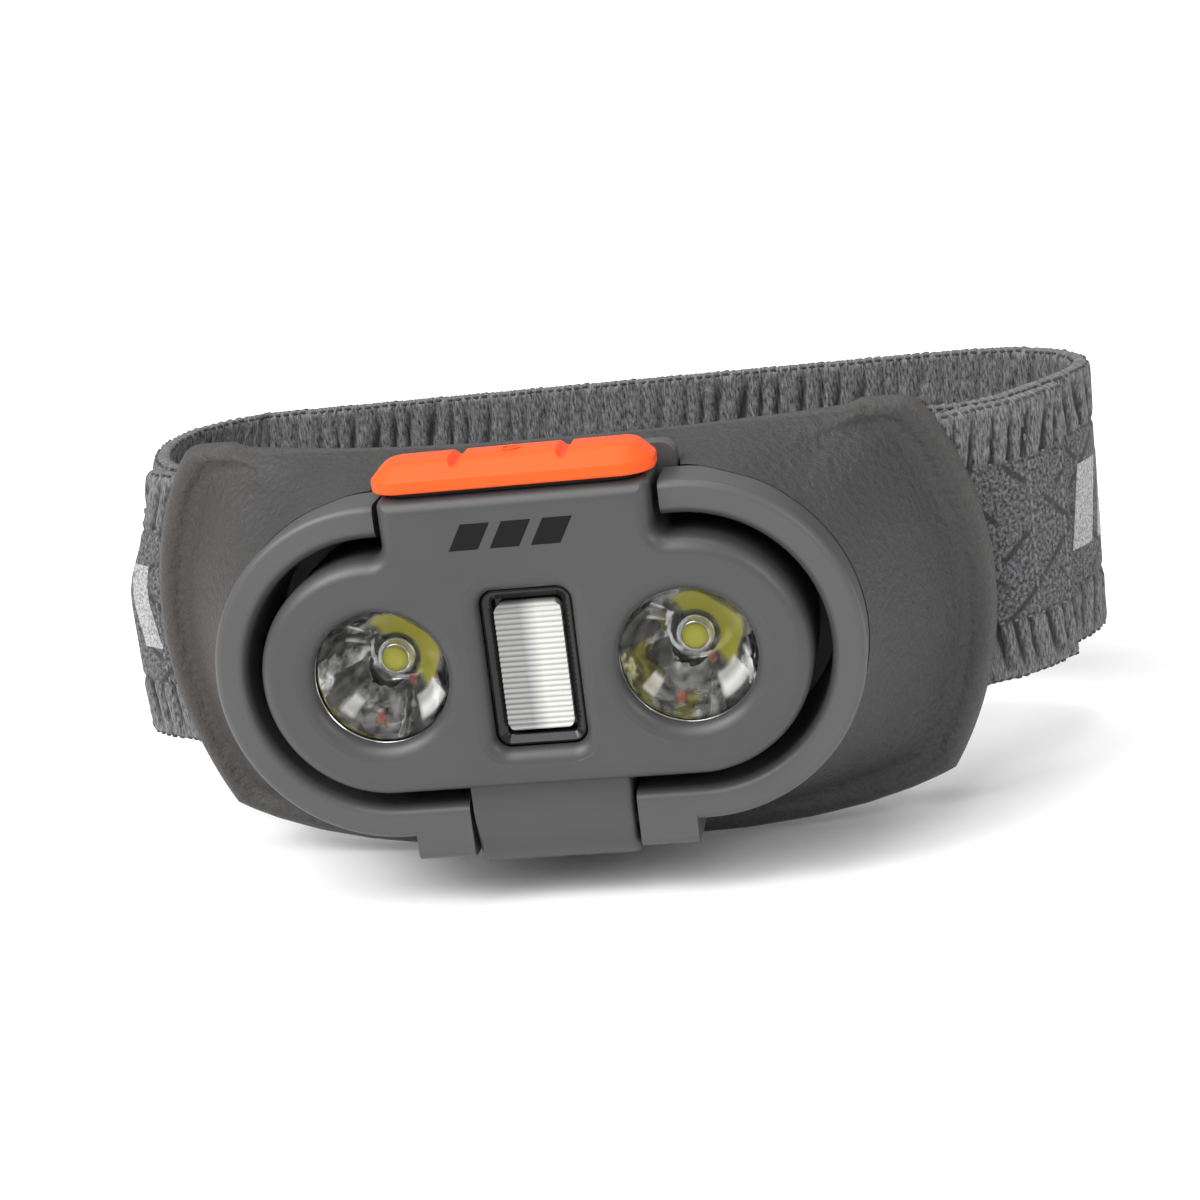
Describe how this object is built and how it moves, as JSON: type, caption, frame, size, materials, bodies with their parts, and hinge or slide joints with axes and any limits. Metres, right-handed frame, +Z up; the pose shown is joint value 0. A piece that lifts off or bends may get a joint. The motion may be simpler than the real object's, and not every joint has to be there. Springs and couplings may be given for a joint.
{
  "type": "headlamp",
  "caption": "Rechargeable headlamp: a tilting lamp pod with spot lenses, a ribbed flood window and a top push button, hinged in a cradle on a curved wing panel with a knitted head strap.",
  "frame": {"origin": "centre of the flat middle of the forehead pad's rear face", "axes": "+X to the right of someone facing the lamp, +Y back from the lamp towards the head, +Z up; the lamp shines towards -Y"},
  "size_m": [0.1146, 0.0635, 0.0485],
  "materials": {
    "pod_plastic": "fine satin, mid grey",
    "cradle_plastic": "fine satin, mid grey",
    "wing_elastomer": "matt, fine leather-like grain, dark grey",
    "button_orange": "satin, bright orange",
    "clear_plastic": "clear, polished",
    "reflector_chrome": "mirror bright",
    "led_phosphor": "yellow phosphor",
    "led_red": "red resin",
    "board_green": "solder resist",
    "cell_foil": "laminated foil pouch",
    "steel": "bright",
    "black_plastic": "satin black",
    "seal_rubber": "matt black",
    "pad_foam": "cloth-faced foam, black",
    "strap_knit": "elastic knit, charcoal heather"
  },
  "bodies": {
    "bracket": {"cradle_frame": "cradle_plastic", "wing_panel": "wing_elastomer", "back_frame": "black_plastic", "forehead_pad": "pad_foam", "hinge_pin": "steel", "tilt_detent": "steel", "strap_webbing": "strap_knit", "frame_screw_left": "steel", "frame_screw_right": "steel"},
    "lamp_pod": {"pod_front_housing": "pod_plastic", "pod_rear_cover": "pod_plastic", "housing_seal": "seal_rubber", "cover_screw_left_low": "steel", "cover_screw_left_high": "steel", "cover_screw_right_low": "steel", "cover_screw_right_high": "steel", "lens_left": "clear_plastic", "lens_right": "clear_plastic", "reflector_left": "reflector_chrome", "reflector_right": "reflector_chrome", "led_left": "led_phosphor", "led_right": "led_phosphor", "flood_bezel": "black_plastic", "flood_lens": "clear_plastic", "flood_circuit_board": "board_green", "flood_led_white": "led_phosphor", "flood_led_red": "led_red", "badge_bars": "black_plastic", "switch_board": "board_green", "tact_switch": "black_plastic", "main_circuit_board": "board_green", "battery_cell": "cell_foil", "usb_c_port": "steel", "port_plug": "seal_rubber"},
    "button": {"power_button": "button_orange", "switch_plunger": "steel"}
  },
  "joints": [
    {"name": "pod_tilt", "type": "hinge", "parent": "bracket", "child": "lamp_pod", "pos_m": [0, -0.0212, -0.0175], "axis": [1, 0, 0], "range_deg": [0, 60]},
    {"name": "button_press", "type": "slide", "parent": "lamp_pod", "child": "button", "axis": [0, 0, -1], "range_m": [0, 0.0004], "stiffness_N_per_m": 600, "springref_m": -0.0004}
  ]
}
